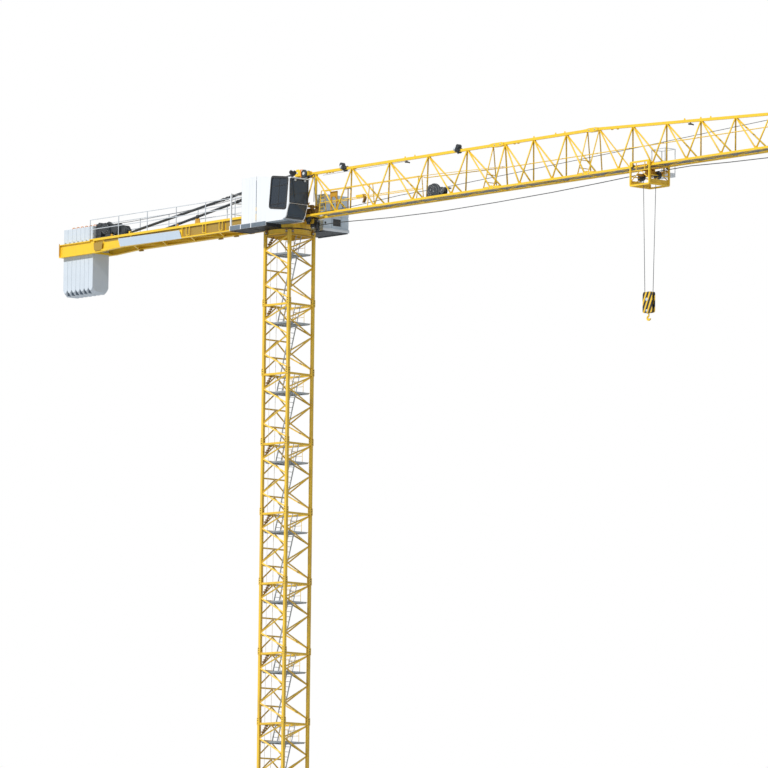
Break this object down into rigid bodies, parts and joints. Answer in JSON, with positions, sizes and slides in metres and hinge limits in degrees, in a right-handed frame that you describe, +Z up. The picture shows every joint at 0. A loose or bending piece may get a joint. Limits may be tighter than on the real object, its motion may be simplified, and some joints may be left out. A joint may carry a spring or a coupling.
{
  "type": "half-scale flat-top tower crane",
  "caption": "Flat-top tower crane at half scale: laced square mast, triangular jib with trolley and hook block, counter-jib with hanging plates, side cab.",
  "frame": {"origin": "on the ground, at the middle of the cross base, under the mast's axis", "axes": "+X along the jib at rest, +Z up, -Y the cab's side"},
  "size_m": [35.7519, 3.1964, 29.4587],
  "materials": {
    "yellow_paint": "satin",
    "white_paint": "satin",
    "cabinet_paint": "satin",
    "grey_steel": "matte",
    "dark_steel": "satin",
    "galvanised": "matte",
    "rope_steel": "matte",
    "concrete": "matte",
    "glass": "gloss"
  },
  "bodies": {
    "tower": {"base_frame": "grey_steel", "mast_sections_odd": "yellow_paint", "mast_sections_even": "yellow_paint", "rest_platforms": "galvanised", "ladders": "galvanised", "ring_support": "yellow_paint", "slewing_bearing": "dark_steel"},
    "upper": {"turntable": "yellow_paint", "slewing_drives": "dark_steel", "head_frame": "yellow_paint", "rope_guides": "dark_steel", "guide_bracket": "yellow_paint", "jib_section_1": "yellow_paint", "jib_section_2": "yellow_paint", "jib_section_3": "yellow_paint", "jib_couplings": "yellow_paint", "jib_lamps": "dark_steel", "jib_walkway": "yellow_paint", "trolley_winch_bed": "dark_steel", "trolley_winch_motor": "dark_steel", "counter_jib": "yellow_paint", "counter_deck": "galvanised", "counter_rails": "white_paint", "counter_panel": "white_paint", "counterweights": "concrete", "counter_ties": "dark_steel", "hoist_winch_bed": "dark_steel", "hoist_motor": "dark_steel", "hoist_box": "dark_steel", "cab_shell": "white_paint", "cab_glass": "glass", "cab_platform": "white_paint", "board": "white_paint", "service_platform": "galvanised", "cabinets": "cabinet_paint"},
    "trolley_rope_drum": {"trolley_drum": "dark_steel"},
    "hoist_rope_drum": {"hoist_drum": "dark_steel"},
    "trolley": {"trolley_frame": "yellow_paint", "trolley_rollers": "dark_steel", "trolley_sheaves": "dark_steel", "trolley_basket": "galvanised", "rope_falls": "rope_steel"},
    "hook_block": {"hook_block": "yellow_paint"},
    "hook": {"hook": "yellow_paint"}
  },
  "joints": [
    {"name": "slewing", "type": "hinge", "parent": "tower", "child": "upper", "pos_m": [0, 0, 27.675], "axis": [0, 0, 1], "continuous": true},
    {"name": "trolley_travel", "type": "slide", "parent": "upper", "child": "trolley", "axis": [1, 0, 0], "range_m": [-13.2, 8.6]},
    {"name": "hook_hoist", "type": "slide", "parent": "trolley", "child": "hook_block", "axis": [0, 0, 1], "range_m": [-23.1, 2.2], "deforming": ["rope_falls"]},
    {"name": "hook_swivel", "type": "hinge", "parent": "hook_block", "child": "hook", "pos_m": [15.655, 0, 23.857], "axis": [0, 0, 1], "continuous": true},
    {"name": "trolley_drum_turn", "type": "hinge", "parent": "upper", "child": "trolley_rope_drum", "pos_m": [6.85, 0, 28.164], "axis": [0, 1, 0], "continuous": true},
    {"name": "hoist_drum_turn", "type": "hinge", "parent": "upper", "child": "hoist_rope_drum", "pos_m": [-8.4, 0, 28.505], "axis": [0, 1, 0], "continuous": true}
  ]
}
